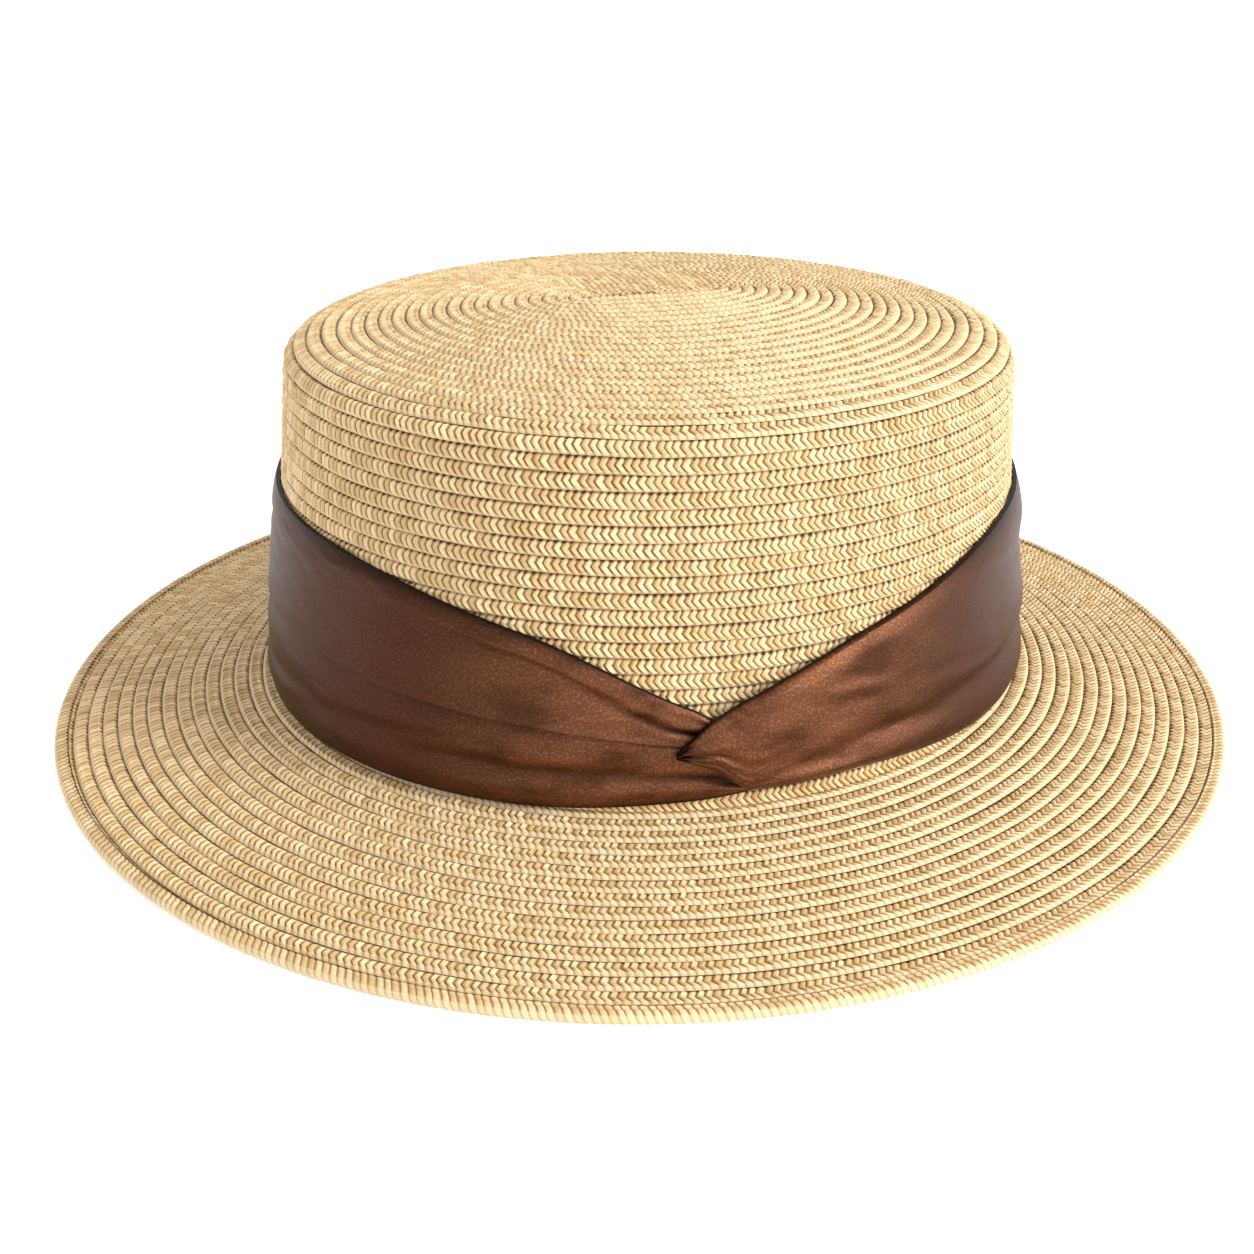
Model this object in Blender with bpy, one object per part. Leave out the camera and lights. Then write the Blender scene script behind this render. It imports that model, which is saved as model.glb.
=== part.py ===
"""A boater hat: a sewn braid crown and brim with a ribbon band that crosses on one side.

Units are metres, +Z up. The origin lies on the surface that the hat rests on, under
the middle of its oval. +X runs along the oval's long axis, towards the back of the
head, and -Y is the wearer's left, the side that carries the ribbon's crossing.
"""

import math
from typing import NamedTuple

import bpy

# Crown
CROWN_WIDTH = 0.1706  # outside, at the foot, across the head
OVAL_STRETCH = 0.0180  # how much longer than wide every full oval is
CROWN_TAPER = 0.0079  # how far the side leans in from the foot to the shoulder
SIDE_HEIGHT = 0.0770  # from the foot to where the shoulder starts to turn
SHOULDER_REACH = 0.0143  # how far in the shoulder turns
SHOULDER_RISE = 0.0067
DOME_RISE = 0.0055  # from the shoulder's top to the middle of the crown
START_STRETCH = 0.0300  # the straight run of braid that the spiral starts from

# Brim
FOOT_HEIGHT = 0.0106  # the brim's top face at the crown's foot, above the rest surface
BRIM_REACH = 0.0545  # from the crown's foot to the rim
RIM_WIDTH = 0.0034  # the flat, rope-like outer round that the hat rests on
RIM_HEIGHT = 0.0025
RIM_ROUNDING = 0.0004
RIM_RAMP = 0.0011  # how far the rim's top slopes up from the last round
RIM_SIDE = 0.0012  # height of the rim's widest line

# Sewn braid
STRAW = 0.0016  # thickness of the wall between the lips of the rounds
ROUND_PITCH = 0.0035  # from one round of braid to the next
LIP = 0.0007  # how far each round's outer edge stands over the next round
LIP_PLACE = 0.88  # where in its round the lip lies, as a share of the pitch
CENTRE_HALF_WIDTH = 0.0009  # half the width of the folded start of the braid

# Ribbon band
BAND_HEIGHT = 0.0540  # flat width of the ribbon, gathered lower all round
RIBBON = 0.0010  # thickness of the gathered ribbon at its thinnest
PLEAT_DEPTH = 0.0030  # how far the fullest pleat stands over the ribbon's base
CROSSING_ANGLE = -9.5  # degrees round from -Y towards +X
SEAM_ANGLE = 180.0  # degrees from the crossing to the seam at the back
SEAM_MARGIN = 0.1  # degrees that each arm stops short of the seam
LIFT_END = 22.0  # degrees from the crossing where the upper arm is back on the crown
UNDER_REACH = 7.0  # degrees that the lower arm runs on under the upper one
GAP = 0.0003  # clearance between pieces that touch

# Mesh fineness
SIDES = 36  # straight runs that make up each oval
FINE_STEPS_PER_SIDE = 4  # columns of the band to each straight run, beside the crossing
COARSE_STEPS_PER_SIDE = 2  # and elsewhere
FINE_REACH = 26.0  # degrees from the crossing that have the finer columns
INNER_STEPS = 4  # rings of the smooth inner wall on each stretch of the crown
SHOULDER_STEPS = 10
SMOOTH_ROUNDS = 4  # rounds at the crown's middle that are too small for lips
SHARP_ANGLE = 40.0  # degrees between faces, from which their edge shows sharp

HALF_WIDTH = CROWN_WIDTH / 2
SHOULDER_HALF_WIDTH = HALF_WIDTH - CROWN_TAPER
FLAT_HALF_WIDTH = SHOULDER_HALF_WIDTH - SHOULDER_REACH
SHOULDER_HEIGHT = FOOT_HEIGHT + SIDE_HEIGHT
FLAT_HEIGHT = SHOULDER_HEIGHT + SHOULDER_RISE
RIM_HALF_WIDTH = HALF_WIDTH + BRIM_REACH


class Finish(NamedTuple):
    """Colour, roughness and metallic value of one material."""

    colour: tuple
    roughness: float
    metallic: float = 0.0


STRAW_FINISH = Finish((0.70, 0.50, 0.27, 1.0), 0.75)
RIBBON_FINISH = Finish((0.075, 0.024, 0.010, 1.0), 0.45)


class Along(NamedTuple):
    """A value at each of the six stations of an arm, from its free end to the back."""

    end: float
    over: float
    cross: float
    front: float
    flank: float
    back: float


class Line(NamedTuple):
    """One line that runs along an arm of the band, such as a hem, crease or crest.

    Heights are shares of BAND_HEIGHT above the crown's foot. Stands are shares of
    PLEAT_DEPTH over the ribbon's base.
    """

    name: str
    height: Along
    stand: Along


# Degrees from the middle of the crossing at which the six columns hold.
LEFT_STATIONS = Along(-UNDER_REACH, -0.8, 3.5, 24.0, 58.0, 105.0)
RIGHT_STATIONS = Along(-3.5, 1.0, 6.0, 24.0, 58.0, 105.0)

LEFT_LINES = (
    Line(
        "hem",
        Along(0.083, 0.064, 0.056, 0.026, 0.019, 0.019),
        Along(0.00, 0.02, 0.02, 0.10, 0.25, 0.10),
    ),
    Line(
        "low crest",
        Along(0.092, 0.110, 0.115, 0.110, 0.120, 0.120),
        Along(0.05, 0.20, 0.25, 0.50, 0.80, 0.35),
    ),
    Line(
        "low crease",
        Along(0.100, 0.165, 0.178, 0.185, 0.200, 0.205),
        Along(0.05, 0.08, 0.10, 0.20, 0.50, 0.20),
    ),
    Line(
        "mid crest",
        Along(0.108, 0.225, 0.240, 0.265, 0.300, 0.300),
        Along(0.08, 0.28, 0.32, 0.50, 0.60, 0.35),
    ),
    Line(
        "under fold",
        Along(0.118, 0.275, 0.296, 0.410, 0.440, 0.440),
        Along(0.05, 0.08, 0.10, 0.05, 0.15, 0.10),
    ),
    Line(
        "fold lip",
        Along(0.124, 0.285, 0.306, 0.392, 0.428, 0.435),
        Along(0.08, 0.35, 0.42, 0.90, 0.70, 0.40),
    ),
    Line(
        "high crest",
        Along(0.130, 0.310, 0.335, 0.490, 0.560, 0.570),
        Along(0.08, 0.42, 0.45, 0.80, 0.45, 0.50),
    ),
    Line(
        "high crease",
        Along(0.136, 0.330, 0.365, 0.635, 0.735, 0.750),
        Along(0.05, 0.12, 0.12, 0.30, 0.30, 0.25),
    ),
    Line(
        "top crest",
        Along(0.142, 0.368, 0.415, 0.680, 0.830, 0.850),
        Along(0.06, 0.35, 0.38, 0.55, 0.25, 0.30),
    ),
    Line(
        "top edge",
        Along(0.150, 0.406, 0.472, 0.735, 0.900, 0.935),
        Along(0.00, 0.05, 0.05, 0.10, 0.05, 0.05),
    ),
)

RIGHT_LINES = (
    Line(
        "hem",
        Along(0.263, 0.220, 0.122, 0.089, 0.019, 0.019),
        Along(0.05, 0.10, 0.15, 0.12, 0.10, 0.05),
    ),
    Line(
        "low crest",
        Along(0.266, 0.245, 0.150, 0.145, 0.110, 0.110),
        Along(0.15, 0.35, 0.45, 0.60, 0.80, 0.35),
    ),
    Line(
        "low crease",
        Along(0.268, 0.265, 0.180, 0.235, 0.270, 0.240),
        Along(0.20, 0.45, 0.45, 0.30, 0.25, 0.15),
    ),
    Line(
        "mid crest",
        Along(0.270, 0.290, 0.240, 0.330, 0.350, 0.350),
        Along(0.25, 0.60, 0.75, 0.75, 0.85, 0.45),
    ),
    Line(
        "high crease",
        Along(0.273, 0.325, 0.330, 0.480, 0.560, 0.560),
        Along(0.25, 0.65, 0.65, 0.60, 0.40, 0.20),
    ),
    Line(
        "high crest",
        Along(0.277, 0.365, 0.455, 0.610, 0.740, 0.750),
        Along(0.25, 0.70, 0.70, 0.65, 0.45, 0.40),
    ),
    Line(
        "top edge",
        Along(0.281, 0.413, 0.498, 0.676, 0.880, 0.935),
        Along(0.05, 0.10, 0.20, 0.25, 0.05, 0.05),
    ),
)


def half_length(half_width):
    """Half the length of the oval that has this half width.

    Full ovals are longer than wide by OVAL_STRETCH. On the crown's top the
    difference grows towards START_STRETCH at the middle.
    """
    share = min(half_width / FLAT_HALF_WIDTH, 1.0)
    stretch = START_STRETCH + (OVAL_STRETCH - START_STRETCH) * share
    return half_width + stretch / 2


def ring_point(half_width, degrees, height):
    """A point on the straight-sided oval, degrees round from -Y towards +X."""
    turn = degrees / 360 * SIDES
    corner = math.floor(turn)
    part = turn - corner
    ends = []
    for index in (corner, corner + 1):
        angle = index / SIDES * math.tau
        ends.append((half_length(half_width) * math.sin(angle), -half_width * math.cos(angle)))
    x = ends[0][0] + (ends[1][0] - ends[0][0]) * part
    y = ends[0][1] + (ends[1][1] - ends[0][1]) * part
    return (x, y, height)


def ring(half_width, height):
    """The corners of one oval."""
    return [ring_point(half_width, 360 * side / SIDES, height) for side in range(SIDES)]


def at_length(path, lengths, length):
    """The point and the outward normal of a path at a length along it."""
    index = 0
    while index < len(path) - 2 and lengths[index + 1] < length:
        index += 1
    run = lengths[index + 1] - lengths[index]
    part = (length - lengths[index]) / run
    start, end = path[index], path[index + 1]
    point = tuple(s + (e - s) * part for s, e in zip(start, end))
    normal = ((start[1] - end[1]) / run, (end[0] - start[0]) / run)
    return point, normal


def shingled(path, smooth_rounds=0):
    """The outer profile of sewn braid along a path that runs outwards and down.

    Each round starts low, under the round before it, and rises to a lip at its outer
    edge. The first few rounds may be left smooth.
    """
    lengths = [0.0]
    for start, end in zip(path, path[1:]):
        lengths.append(lengths[-1] + math.dist(start, end))
    count = max(1, round(lengths[-1] / ROUND_PITCH))
    pitch = lengths[-1] / count
    profile = []
    for number in range(count):
        point, _ = at_length(path, lengths, pitch * number)
        profile.append(point)
        if number < smooth_rounds:
            continue
        point, normal = at_length(path, lengths, pitch * (number + LIP_PLACE))
        profile.append((point[0] + normal[0] * LIP, point[1] + normal[1] * LIP))
    profile.append(path[-1])
    return profile


def shoulder_point(turn, inset):
    """A point on the rounded shoulder, turn 0 at its top and 90 at its side."""
    angle = math.radians(turn)
    reach = SHOULDER_REACH - inset
    rise = SHOULDER_RISE - inset
    half_width = FLAT_HALF_WIDTH + reach * math.sin(angle)
    return (half_width, SHOULDER_HEIGHT + rise * math.cos(angle))


def crown_path(inset, foot, steps):
    """The crown from its middle to its foot, inset from the outer face, as (half width, height)."""
    path = []
    flat_height = FLAT_HEIGHT - inset
    for step in range(steps + 1):
        share = step / steps
        path.append((FLAT_HALF_WIDTH * share, flat_height + DOME_RISE * (1 - share**2)))
    for step in range(1, SHOULDER_STEPS + 1):
        path.append(shoulder_point(90 * step / SHOULDER_STEPS, inset))
    path.append((HALF_WIDTH - inset, foot))
    return path


def shell(name, profile, closed_middle, finish):
    """A turned oval solid from its closed profile of (half width, height) points.

    With closed_middle the rings of the profile's first and last points are each filled
    with one flat face. Otherwise the profile closes on itself.
    """
    vertices = []
    faces = []
    rings = []
    for half_width, height in profile:
        rings.append(len(vertices))
        vertices.extend(ring(half_width, height))
    pairs = list(zip(rings, rings[1:]))
    if not closed_middle:
        pairs.append((rings[-1], rings[0]))
    for inner, outer in pairs:
        for side in range(SIDES):
            after = (side + 1) % SIDES
            faces.append((inner + side, outer + side, outer + after, inner + after))
    if closed_middle:
        faces.append(tuple(rings[0] + side for side in range(SIDES)))
        faces.append(tuple(rings[-1] + side for side in reversed(range(SIDES))))
    return solid(name, vertices, faces, finish)


def solid(name, vertices, faces, finish):
    """One closed object with its own material."""
    mesh = bpy.data.meshes.new(name)
    mesh.from_pydata(vertices, [], faces)
    mesh.validate()
    mesh.shade_smooth()
    mesh.set_sharp_from_angle(angle=math.radians(SHARP_ANGLE))
    mesh.materials.append(material(name, finish))
    piece = bpy.data.objects.new(name, mesh)
    bpy.context.scene.collection.objects.link(piece)
    return piece


def material(name, finish):
    """A Principled BSDF with the finish's colour, roughness and metallic value."""
    made = bpy.data.materials.new(name)
    made.use_nodes = True
    shader = made.node_tree.nodes["Principled BSDF"]
    shader.inputs["Base Color"].default_value = finish.colour
    shader.inputs["Roughness"].default_value = finish.roughness
    shader.inputs["Metallic"].default_value = finish.metallic
    made.diffuse_color = finish.colour
    return made


def build_crown():
    """The hollow crown: shingled rounds outside and a smooth wall inside, open at the foot."""
    foot = FOOT_HEIGHT + GAP
    outside = shingled(crown_path(0.0, foot, SHOULDER_STEPS), SMOOTH_ROUNDS)
    outside[0] = (CENTRE_HALF_WIDTH, outside[0][1])
    inside = crown_path(STRAW, foot, INNER_STEPS)
    inside[0] = (CENTRE_HALF_WIDTH, inside[0][1])
    return shell("crown", outside + inside[::-1], True, STRAW_FINISH)


def brim_path():
    """The brim's top face from the crown's foot to the start of the rim."""
    return [(HALF_WIDTH, FOOT_HEIGHT), (RIM_HALF_WIDTH - RIM_WIDTH, STRAW)]


def build_brim():
    """The sloping brim: a flat seat under the crown's wall, shingled rounds, and a flat-bottomed rim."""
    opening = HALF_WIDTH - STRAW
    rim_start = RIM_HALF_WIDTH - RIM_WIDTH
    profile = [(opening, FOOT_HEIGHT)]
    profile.extend(shingled(brim_path()))
    profile.append((rim_start + RIM_RAMP, RIM_HEIGHT))
    profile.append((RIM_HALF_WIDTH - RIM_ROUNDING, RIM_HEIGHT))
    profile.append((RIM_HALF_WIDTH, RIM_SIDE))
    profile.append((RIM_HALF_WIDTH - RIM_ROUNDING, 0.0))
    profile.append((rim_start, 0.0))
    profile.append((opening, FOOT_HEIGHT - STRAW))
    return shell("brim", profile, False, STRAW_FINISH)


def read_off(stations, values, travel):
    """The value at a travel in degrees, on straight runs from one station to the next."""
    if travel <= stations[0]:
        return values[0]
    for start, end, low, high in zip(stations, stations[1:], values, values[1:]):
        if travel <= end:
            return low + (high - low) * (travel - start) / (end - start)
    return values[-1]


def side_point(degrees, height, stand):
    """A point over the crown's side, at a height above the foot and a stand off its lips."""
    half_width = HALF_WIDTH - CROWN_TAPER * height / SIDE_HEIGHT + LIP + GAP + stand
    return ring_point(half_width, degrees, FOOT_HEIGHT + height)


def arm_angles(stations, way):
    """The angles round from -Y of an arm's columns, way -1 for the left arm and 1 for the right."""
    fine = 360 / SIDES / FINE_STEPS_PER_SIDE
    every = FINE_STEPS_PER_SIDE // COARSE_STEPS_PER_SIDE
    angles = [CROSSING_ANGLE + way * stations.end]
    number = round(CROSSING_ANGLE / fine)
    number += way * (math.floor(way * (angles[0] / fine - number)) + 1)
    while way * (number * fine - CROSSING_ANGLE) < SEAM_ANGLE - SEAM_MARGIN:
        near = way * (number * fine - CROSSING_ANGLE) < FINE_REACH
        if near or number % every == 0:
            angles.append(number * fine)
        number += way
    angles.append(CROSSING_ANGLE + way * (SEAM_ANGLE - SEAM_MARGIN))
    return angles


def crossing_lift():
    """How far the right arm is held off the crown by the left arm that runs under it."""
    fullest = max(max(line.stand[:3]) for line in LEFT_LINES)
    return RIBBON + fullest * PLEAT_DEPTH + GAP


def build_arm(name, stations, lines, way, lift):
    """One arm of the band: a column of points at each angle, joined into a closed wall.

    Each column runs up the outer face along the lines and back down the inner face.
    The arm is lifted off the crown as far as the other arm reaches under it.
    """
    vertices = []
    for degrees in arm_angles(stations, way):
        travel = way * (degrees - CROSSING_ANGLE)
        off = lift * min(1.0, max(0.0, (LIFT_END - travel) / (LIFT_END - UNDER_REACH)))
        heights = [read_off(stations, line.height, travel) * BAND_HEIGHT for line in lines]
        stands = [RIBBON + read_off(stations, line.stand, travel) * PLEAT_DEPTH for line in lines]
        for height, stand in zip(heights, stands):
            vertices.append(side_point(degrees, height, off + stand))
        vertices.append(side_point(degrees, heights[-1], off))
        vertices.append(side_point(degrees, heights[0], off))
    size = len(lines) + 2
    last = len(vertices) - size
    faces = [tuple(reversed(range(size))), tuple(range(last, last + size))]
    for first in range(0, last, size):
        for place in range(size):
            after = (place + 1) % size
            faces.append((first + place, first + after, first + size + after, first + size + place))
    if way > 0:
        faces = [face[::-1] for face in faces]
    return solid(name, vertices, faces, RIBBON_FINISH)


def main():
    """Clears the scene and builds the four pieces."""
    for old in list(bpy.data.objects):
        bpy.data.objects.remove(old, do_unlink=True)
    build_crown()
    build_brim()
    build_arm("band_left", LEFT_STATIONS, LEFT_LINES, -1, 0.0)
    build_arm("band_right", RIGHT_STATIONS, RIGHT_LINES, 1, crossing_lift())


main()
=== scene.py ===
"""The looks of a boater hat: sewn rounds of plaited straw and a pleated ribbon band.

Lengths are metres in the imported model's frame. +X runs along the oval's long axis,
towards the back of the head, -Y is the wearer's left, where the band's two arms cross,
and +Z is up. A turn is one whole way round the hat, from -Y towards +X.
"""

import logging
from dataclasses import dataclass
from enum import Enum
from typing import Any, NamedTuple, Sequence

import bpy
import numpy as np
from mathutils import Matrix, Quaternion, Vector

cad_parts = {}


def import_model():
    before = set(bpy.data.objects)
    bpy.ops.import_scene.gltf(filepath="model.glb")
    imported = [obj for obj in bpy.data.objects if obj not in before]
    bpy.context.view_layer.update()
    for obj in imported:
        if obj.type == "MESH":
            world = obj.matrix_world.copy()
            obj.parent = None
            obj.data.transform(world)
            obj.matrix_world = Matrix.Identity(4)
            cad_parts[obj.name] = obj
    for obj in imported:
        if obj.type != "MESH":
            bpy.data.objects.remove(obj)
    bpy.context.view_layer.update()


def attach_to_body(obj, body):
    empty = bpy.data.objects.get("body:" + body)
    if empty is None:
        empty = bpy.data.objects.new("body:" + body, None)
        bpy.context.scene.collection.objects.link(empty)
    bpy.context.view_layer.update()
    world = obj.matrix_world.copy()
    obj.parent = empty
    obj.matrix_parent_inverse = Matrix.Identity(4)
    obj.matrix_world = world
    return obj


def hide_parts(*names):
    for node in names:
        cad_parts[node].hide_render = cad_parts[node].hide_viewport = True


Array = np.ndarray
Colour = tuple[float, float, float]

MM = 0.001
FULL_TURN = 2 * np.pi
BODY = "root"
BRAID_MAP = "braid"
RIBBON_MAP = "ribbon"
FOLD = "fold"
SHARP_ANGLE = np.radians(58.0)

log = logging.getLogger("boater")


class Slot(Enum):
    """The record's material slots."""

    STRAW = "straw"
    RIBBON = "ribbon"


def value_noise(along: Array, across: Array, seed: int) -> Array:
    """Smooth random values from -1 to 1 over a plane.

    Random numbers stand at whole-number corners. A point takes the four corners around
    it, each weighted by 3t^2 - 2t^3 of how near the point is to it in both directions.

    Args:
        along: First coordinate of each point.
        across: Second coordinate, in a shape that fits the first.
        seed: Which random numbers stand at the corners.

    Returns:
        One value for each point.
    """
    table = np.random.default_rng(seed).uniform(-1.0, 1.0, (256, 256))
    along, across = np.broadcast_arrays(along, across)
    column = np.floor(along).astype(int)
    row = np.floor(across).astype(int)
    part_along = along - column
    part_across = across - row
    ease_along = part_along**2 * (3 - 2 * part_along)
    ease_across = part_across**2 * (3 - 2 * part_across)

    def corner(right: int, up: int) -> Array:
        """The random number of one of the four corners."""
        return table[(column + right) % 256, (row + up) % 256]

    low = corner(0, 0) * (1 - ease_along) + corner(1, 0) * ease_along
    high = corner(0, 1) * (1 - ease_along) + corner(1, 1) * ease_along
    return low * (1 - ease_across) + high * ease_across


def eased(knots: Array, values: Array, at: Array) -> Array:
    """Values read off a smooth curve through knots that never swings past them.

    Between two knots the curve is the cubic that has each knot's slope. A knot's slope
    is the harmonic mean of the slopes on its two sides, or 0 where they differ in sign.

    Args:
        knots: Rising positions, n of them.
        values: What holds at the knots, with n in the last axis.
        at: Positions to read.

    Returns:
        The values, with the positions in the last axis.
    """
    run = np.diff(knots)
    rise = np.diff(values, axis=-1) / run
    before, after = rise[..., :-1], rise[..., 1:]
    same = before * after > 0
    total = np.where(same, before + after, 1.0)
    middle = np.where(same, 2 * before * after / total, 0.0)
    slopes = np.concatenate([rise[..., :1], middle, rise[..., -1:]], axis=-1)
    at = np.clip(at, knots[0], knots[-1])
    index = np.clip(np.searchsorted(knots, at, side="right") - 1, 0, len(knots) - 2)
    width = run[index]
    part = (at - knots[index]) / width
    return (
        values[..., index] * (1 + 2 * part) * (1 - part) ** 2
        + values[..., index + 1] * part**2 * (3 - 2 * part)
        + slopes[..., index] * width * part * (1 - part) ** 2
        - slopes[..., index + 1] * width * part**2 * (1 - part)
    )


@dataclass(frozen=True)
class HatForm:
    """The hat's main sizes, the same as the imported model's."""

    crown_half_width: float = 85.3 * MM
    crown_taper: float = 7.9 * MM
    side_height: float = 77.0 * MM
    shoulder_reach: float = 14.3 * MM
    shoulder_rise: float = 6.7 * MM
    dome_rise: float = 5.5 * MM
    foot_height: float = 10.6 * MM
    brim_reach: float = 54.5 * MM
    rim_width: float = 3.4 * MM
    straw: float = 1.6 * MM
    oval_stretch: float = 18.0 * MM
    start_stretch: float = 30.0 * MM
    straight_reach: float = 24.0 * MM  # half width at which the rounds have lost their straight runs
    straightness: float = 3.2

    @property
    def flat_half_width(self) -> float:
        """Half the width of the crown's top inside the shoulder."""
        return self.crown_half_width - self.crown_taper - self.shoulder_reach

    @property
    def rim_start(self) -> float:
        """Half the brim's width where its rope-like rim starts."""
        return self.crown_half_width + self.brim_reach - self.rim_width

    def oval(self, half_width: Array, turn: Array, height: Array) -> Array:
        """Points on the hat's ovals.

        With a the angle of the turn, y is -half_width cos a, and x is half_width sin a
        plus half the stretch times the side-to-side share of the angle. That share is
        sin a for wide ovals. Near the middle it turns into sin a steepened and held
        at 1, which gives the straight runs of the folded start of the braid.

        Args:
            half_width: Half the oval's width at each point.
            turn: Turns round from -Y towards +X.
            height: Height of each point.

        Returns:
            Points, with x, y and z in the last axis.
        """
        half_width, turn, height = np.broadcast_arrays(half_width, turn, height)
        sine, cosine = np.sin(FULL_TURN * turn), np.cos(FULL_TURN * turn)
        share = np.clip(half_width / self.flat_half_width, 0.0, 1.0)
        stretch = self.start_stretch + (self.oval_stretch - self.start_stretch) * share
        steep = self.straightness * sine
        held = steep / (1 + steep**4) ** 0.25
        straight = np.clip(1 - half_width / self.straight_reach, 0.0, 1.0)
        side = sine + (held - sine) * straight
        x = half_width * sine + stretch / 2 * side
        return np.stack([x, -half_width * cosine, height], axis=-1)


class Meridian:
    """A line that runs outwards and down, to be turned round the oval."""

    def __init__(self, half_widths: Array, heights: Array) -> None:
        """Measures the line through these points.

        Args:
            half_widths: Half width of the oval at each point.
            heights: Height of each point.
        """
        steps = np.hypot(np.diff(half_widths), np.diff(heights))
        self.lengths = np.concatenate([[0.0], np.cumsum(steps)])
        self.half_widths = half_widths
        self.heights = heights
        slope_out = np.gradient(half_widths, self.lengths)
        slope_up = np.gradient(heights, self.lengths)
        size = np.hypot(slope_out, slope_up)
        self.facing_out = -slope_up / size
        self.facing_up = slope_out / size

    @property
    def length(self) -> float:
        """The whole line's length."""
        return float(self.lengths[-1])

    def at(self, length: Array, off: Array) -> tuple[Array, Array]:
        """The half width and height at a length along the line and a distance off it."""
        half_width = np.interp(length, self.lengths, self.half_widths)
        height = np.interp(length, self.lengths, self.heights)
        out = np.interp(length, self.lengths, self.facing_out)
        up = np.interp(length, self.lengths, self.facing_up)
        return np.maximum(half_width + out * off, 0.05 * MM), height + up * off


def crown_meridian(form: HatForm) -> Meridian:
    """From the crown's middle over its shallow dome and round the shoulder to its foot.

    The dome's height falls as the square of the half width. The shoulder is a quarter
    of an ellipse, and the side is straight and leans in.
    """
    fine = 80
    share = np.linspace(0.0, 1.0, fine)
    shoulder_height = form.foot_height + form.side_height
    flat_height = shoulder_height + form.shoulder_rise
    dome = (form.flat_half_width * share, flat_height + form.dome_rise * (1 - share**2))
    angle = share[1:] * np.pi / 2
    shoulder = (
        form.flat_half_width + form.shoulder_reach * np.sin(angle),
        shoulder_height + form.shoulder_rise * np.cos(angle),
    )
    shoulder_half_width = form.crown_half_width - form.crown_taper
    side = (
        shoulder_half_width + form.crown_taper * share[1:],
        shoulder_height - form.side_height * share[1:],
    )
    return Meridian(*(np.concatenate(parts) for parts in zip(dome, shoulder, side)))


def brim_meridian(form: HatForm) -> Meridian:
    """Straight from under the crown's foot down to the start of the rim."""
    return Meridian(
        np.linspace(form.crown_half_width - form.straw, form.rim_start, 40),
        np.linspace(form.foot_height, form.straw, 40),
    )


def rim_meridian(form: HatForm) -> Meridian:
    """Level across the rim."""
    return Meridian(
        np.linspace(form.rim_start, form.rim_start + form.rim_width, 4), np.full(4, form.straw)
    )


class Strand(NamedTuple):
    """One line of the braid's section, from its tucked inner edge to its outer edge.

    Widths and heights are millimetres, and the lean is how many stitches the strokes
    have leaned along the braid there.
    """

    across: float
    height: float
    stroke: float
    lean: float


BRAID_SECTION = (
    Strand(-0.42, -0.50, 0.00, 0.50),  # tucked under the round before
    Strand(0.18, -0.12, 0.05, 0.42),  # the groove with the sewing holes
    Strand(0.85, 0.22, 0.52, 0.24),  # plump upper strokes
    Strand(1.66, 0.10, 0.36, 0.00),  # where the strokes turn back
    Strand(2.38, 0.30, 0.50, 0.36),  # lower strokes
    Strand(3.04, 0.52, 0.28, 0.72),  # the lip
    Strand(3.62, 0.00, 0.06, 0.86),  # outer edge
    Strand(-0.42, -1.20, 0.00, 0.55),  # back along the underside
)

RIM_SECTION = (
    Strand(0.00, -0.40, 0.00, 0.00),
    Strand(0.25, 0.35, 0.05, 0.10),
    Strand(0.70, 0.88, 0.16, 0.30),  # the rim's inner cord
    Strand(1.25, 0.62, 0.06, 0.50),
    Strand(1.80, 0.86, 0.16, 0.70),  # the outer cord
    Strand(2.70, 0.62, 0.16, 0.95),
    Strand(3.36, -0.15, 0.12, 1.20),
    Strand(3.30, -0.95, 0.08, 1.40),
    Strand(2.70, -1.55, 0.02, 1.50),
    Strand(0.80, -1.58, 0.02, 1.10),
    Strand(0.00, -1.25, 0.00, 0.50),
)


class Run(NamedTuple):
    """One piece of the sewn spiral, up to a share of its length."""

    name: str
    until: float


def closed_mesh(name: str, sections: Array, flat: Array, layer: str) -> bpy.types.Object:
    """A closed tube through a row of closed sections, capped at both ends.

    Args:
        name: Name of the object.
        sections: Points, as rows of sections.
        flat: The flat place of each point on the piece's own map.
        layer: Name of that map.

    Returns:
        The object, with its faces outwards.
    """
    rows, size = sections.shape[:2]
    numbers = np.arange(rows * size).reshape(rows, size)
    after = np.roll(numbers, -1, axis=1)
    quads = np.stack([numbers[:-1], after[:-1], after[1:], numbers[1:]], axis=-1).reshape(-1, 4)
    caps = [numbers[0][::-1], numbers[-1]]
    points = sections.reshape(-1, 3)
    corners = points[quads]
    normals = np.cross(corners[:, 2] - corners[:, 0], corners[:, 3] - corners[:, 1])
    if np.einsum("ij,ij->", corners.mean(axis=1) - points.mean(axis=0), normals) < 0:
        quads = quads[:, ::-1]
        caps = [cap[::-1] for cap in caps]
    loops = np.concatenate([quads.ravel(), *caps]).astype(np.int32)
    totals = np.concatenate([np.full(len(quads), 4), [size, size]]).astype(np.int32)
    mesh = bpy.data.meshes.new(name)
    mesh.vertices.add(len(points))
    mesh.vertices.foreach_set("co", points.astype(np.float32).ravel())
    mesh.loops.add(len(loops))
    mesh.loops.foreach_set("vertex_index", loops)
    mesh.polygons.add(len(totals))
    mesh.polygons.foreach_set("loop_start", np.cumsum(totals) - totals)
    mesh.polygons.foreach_set("loop_total", totals)
    mesh.update(calc_edges=True)
    mesh.shade_smooth()
    mesh.set_sharp_from_angle(angle=SHARP_ANGLE)
    places = mesh.uv_layers.new(name=layer)
    places.uv.foreach_set("vector", flat.reshape(-1, 2)[loops].astype(np.float32).ravel())
    made = bpy.data.objects.new(name, mesh)
    bpy.context.scene.collection.objects.link(made)
    return made


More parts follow.
